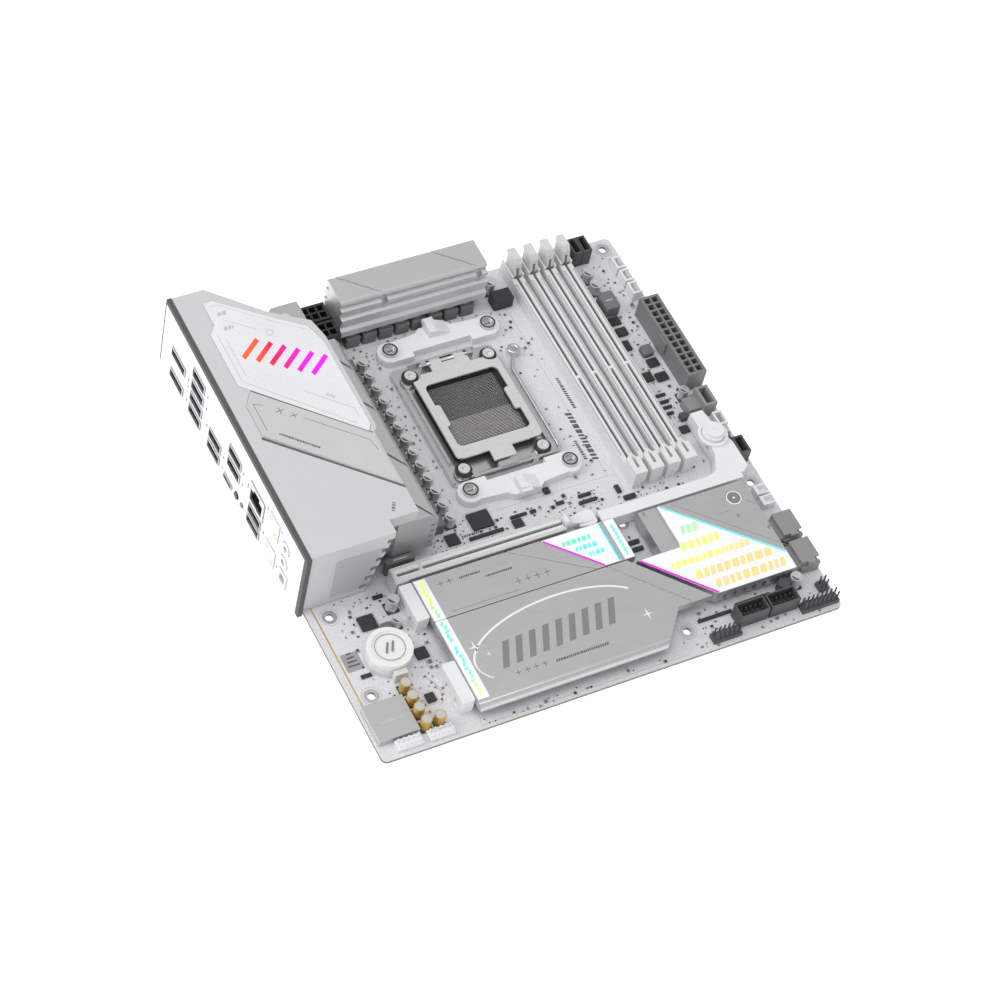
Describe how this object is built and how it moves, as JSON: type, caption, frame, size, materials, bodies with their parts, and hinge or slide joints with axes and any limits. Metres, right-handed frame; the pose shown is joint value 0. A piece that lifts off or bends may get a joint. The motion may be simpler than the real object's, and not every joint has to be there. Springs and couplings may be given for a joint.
{
  "type": "motherboard",
  "caption": "Compact desktop motherboard with open processor socket, sprung latches, covered drive bays and rear port panel.",
  "frame": {"origin": "bottom centre of the overall box; the part lies on its solder side with the underside at z = 0", "axes": "+X away from the rear port panel, +Y from the expansion edge to the processor edge, +Z out of the component face"},
  "size_m": [0.2474, 0.248, 0.0463],
  "materials": {
    "pcb": "white solder mask over fibreglass",
    "io_panel": "white painted steel",
    "io_panel_frame": "dark grey foam and foil edge",
    "io_cover": "satin silver-white paint",
    "cover_window": "translucent white",
    "cover_trim": "fine brushed",
    "power_heatsink_side": "blasted",
    "power_heatsink_top": "blasted",
    "power_stages": "moulded",
    "thermal_pads": "soft pad",
    "power_chokes": "moulded powder",
    "power_capacitors": "satin can",
    "socket_backplate": "plain steel",
    "socket_housing": "moulded",
    "socket_contacts": "fine contact field",
    "socket_frame": "stamped",
    "socket_load_plate": "bright stamped",
    "socket_lever": "drawn wire",
    "socket_screws": "machined",
    "cooler_brackets": "white moulded",
    "cooler_screws": "machined",
    "memory_slots": "light grey moulded",
    "memory_latches": "light grey moulded",
    "graphics_slot": "grey moulded",
    "graphics_slot_shell": "bright sheet",
    "graphics_latch": "white moulded",
    "release_cover": "white moulded",
    "release_button": "white moulded",
    "release_slider": "plain steel",
    "release_rod": "plain steel",
    "drive_heatsink_lower": "fine brushed",
    "drive_heatsink_upper": "fine brushed",
    "drive_light_strips": "white with bright tinted marks",
    "drive_connectors": "moulded",
    "drive_latch": "white moulded",
    "drive_standoffs": "turned",
    "end_blocks": "white moulded",
    "chipset_heatsink": "fine brushed",
    "chipset_light_panel": "white with bright tinted marks",
    "chipset_chip": "chip package",
    "main_power_connector": "dark grey moulded",
    "cpu_power_connectors": "black moulded",
    "storage_ports": "grey moulded",
    "black_headers": "black moulded",
    "white_headers": "white moulded",
    "front_usb_socket": "grey moulded",
    "battery_holder": "light grey moulded",
    "battery": "nickel plated",
    "battery_cap": "white gloss",
    "audio_shield": "tinned sheet",
    "audio_capacitors": "gold sleeve",
    "chips": "moulded",
    "usb_port_stacks": "grey shells with dark tongues",
    "display_and_lan_ports": "grey shells",
    "audio_and_antenna_ports": "light moulded",
    "bios_button": "black moulded",
    "clear_button": "grey moulded"
  },
  "bodies": {
    "board": {"pcb": "pcb", "io_panel": "io_panel", "io_panel_frame": "io_panel_frame", "io_cover": "io_cover", "cover_window": "cover_window", "cover_trim": "cover_trim", "power_heatsink_side": "power_heatsink_side", "power_heatsink_top": "power_heatsink_top", "power_stages": "power_stages", "thermal_pads": "thermal_pads", "power_chokes": "power_chokes", "power_capacitors": "power_capacitors", "socket_backplate": "socket_backplate", "socket_housing": "socket_housing", "socket_contacts": "socket_contacts", "socket_frame": "socket_frame", "socket_screws": "socket_screws", "cooler_brackets": "cooler_brackets", "cooler_screws": "cooler_screws", "memory_slots": "memory_slots", "graphics_slot": "graphics_slot", "graphics_slot_shell": "graphics_slot_shell", "release_cover": "release_cover", "drive_heatsink_lower": "drive_heatsink_lower", "drive_heatsink_upper": "drive_heatsink_upper", "drive_light_strips": "drive_light_strips", "drive_connectors": "drive_connectors", "drive_standoffs": "drive_standoffs", "end_blocks": "end_blocks", "chipset_heatsink": "chipset_heatsink", "chipset_light_panel": "chipset_light_panel", "chipset_chip": "chipset_chip", "main_power_connector": "main_power_connector", "cpu_power_connectors": "cpu_power_connectors", "storage_ports": "storage_ports", "black_headers": "black_headers", "white_headers": "white_headers", "front_usb_socket": "front_usb_socket", "battery_holder": "battery_holder", "battery": "battery", "battery_cap": "battery_cap", "audio_shield": "audio_shield", "audio_capacitors": "audio_capacitors", "chips": "chips", "usb_port_stacks": "usb_port_stacks", "display_and_lan_ports": "display_and_lan_ports", "audio_and_antenna_ports": "audio_and_antenna_ports"},
    "lever": {"socket_lever": "socket_lever"},
    "load_plate": {"socket_load_plate": "socket_load_plate"},
    "slot_latch": {"graphics_latch": "graphics_latch"},
    "button": {"release_button": "release_button"},
    "slider": {"release_slider": "release_slider"},
    "rod": {"release_rod": "release_rod"},
    "drive_turn_latch": {"drive_latch": "drive_latch"},
    "bios_push": {"bios_button": "bios_button"},
    "clear_push": {"clear_button": "clear_button"},
    "dimm_latch_1": {"memory_latch_1": "memory_latches"},
    "dimm_latch_2": {"memory_latch_2": "memory_latches"},
    "dimm_latch_3": {"memory_latch_3": "memory_latches"},
    "dimm_latch_4": {"memory_latch_4": "memory_latches"}
  },
  "joints": [
    {"name": "lever_hinge", "type": "hinge", "parent": "board", "child": "lever", "pos_m": [0.00988, 0.0043, 0.0068], "axis": [1, 0, 0], "range_deg": [0, 105]},
    {"name": "load_plate_hinge", "type": "hinge", "parent": "board", "child": "load_plate", "pos_m": [0.00638, 0.0726, 0.0083], "axis": [-1, 0, 0], "range_deg": [0, 100]},
    {"name": "dimm_latch_1_hinge", "type": "hinge", "parent": "board", "child": "dimm_latch_1", "pos_m": [0.06258, 0.1136, 0.0072], "axis": [-1, 0, 0], "range_deg": [0, 25]},
    {"name": "dimm_latch_2_hinge", "type": "hinge", "parent": "board", "child": "dimm_latch_2", "pos_m": [0.07178, 0.1136, 0.0072], "axis": [-1, 0, 0], "range_deg": [0, 25]},
    {"name": "dimm_latch_3_hinge", "type": "hinge", "parent": "board", "child": "dimm_latch_3", "pos_m": [0.08098, 0.1136, 0.0072], "axis": [-1, 0, 0], "range_deg": [0, 25]},
    {"name": "dimm_latch_4_hinge", "type": "hinge", "parent": "board", "child": "dimm_latch_4", "pos_m": [0.09018, 0.1136, 0.0072], "axis": [-1, 0, 0], "range_deg": [0, 25]},
    {"name": "release_press", "type": "slide", "parent": "board", "child": "button", "axis": [0, 0, -1], "range_m": [0, 0.003], "stiffness_N_per_m": 300},
    {"name": "release_slide", "type": "slide", "parent": "board", "child": "slider", "axis": [0, -1, 0], "range_m": [0, 0.003]},
    {"name": "release_rod_slide", "type": "slide", "parent": "board", "child": "rod", "axis": [-1, 0, 0], "range_m": [0, 0.003]},
    {"name": "slot_latch_hinge", "type": "hinge", "parent": "board", "child": "slot_latch", "pos_m": [0.01528, -0.04005, 0.007], "axis": [0, 1, 0], "range_deg": [0, 14.5]},
    {"name": "drive_latch_turn", "type": "hinge", "parent": "board", "child": "drive_turn_latch", "pos_m": [0.02638, -0.1, 0.0063], "axis": [0, 0, 1], "range_deg": [0, 90]},
    {"name": "bios_press", "type": "slide", "parent": "board", "child": "bios_push", "axis": [1, 0, 0], "range_m": [0, 0.0008], "stiffness_N_per_m": 1200},
    {"name": "clear_press", "type": "slide", "parent": "board", "child": "clear_push", "axis": [1, 0, 0], "range_m": [0, 0.0008], "stiffness_N_per_m": 1200}
  ],
  "couplings": [
    {"joint": "release_slide", "follows": "release_press", "ratio": 1},
    {"joint": "release_rod_slide", "follows": "release_press", "ratio": 1},
    {"joint": "slot_latch_hinge", "follows": "release_press", "rad_per_m": 81.449}
  ]
}
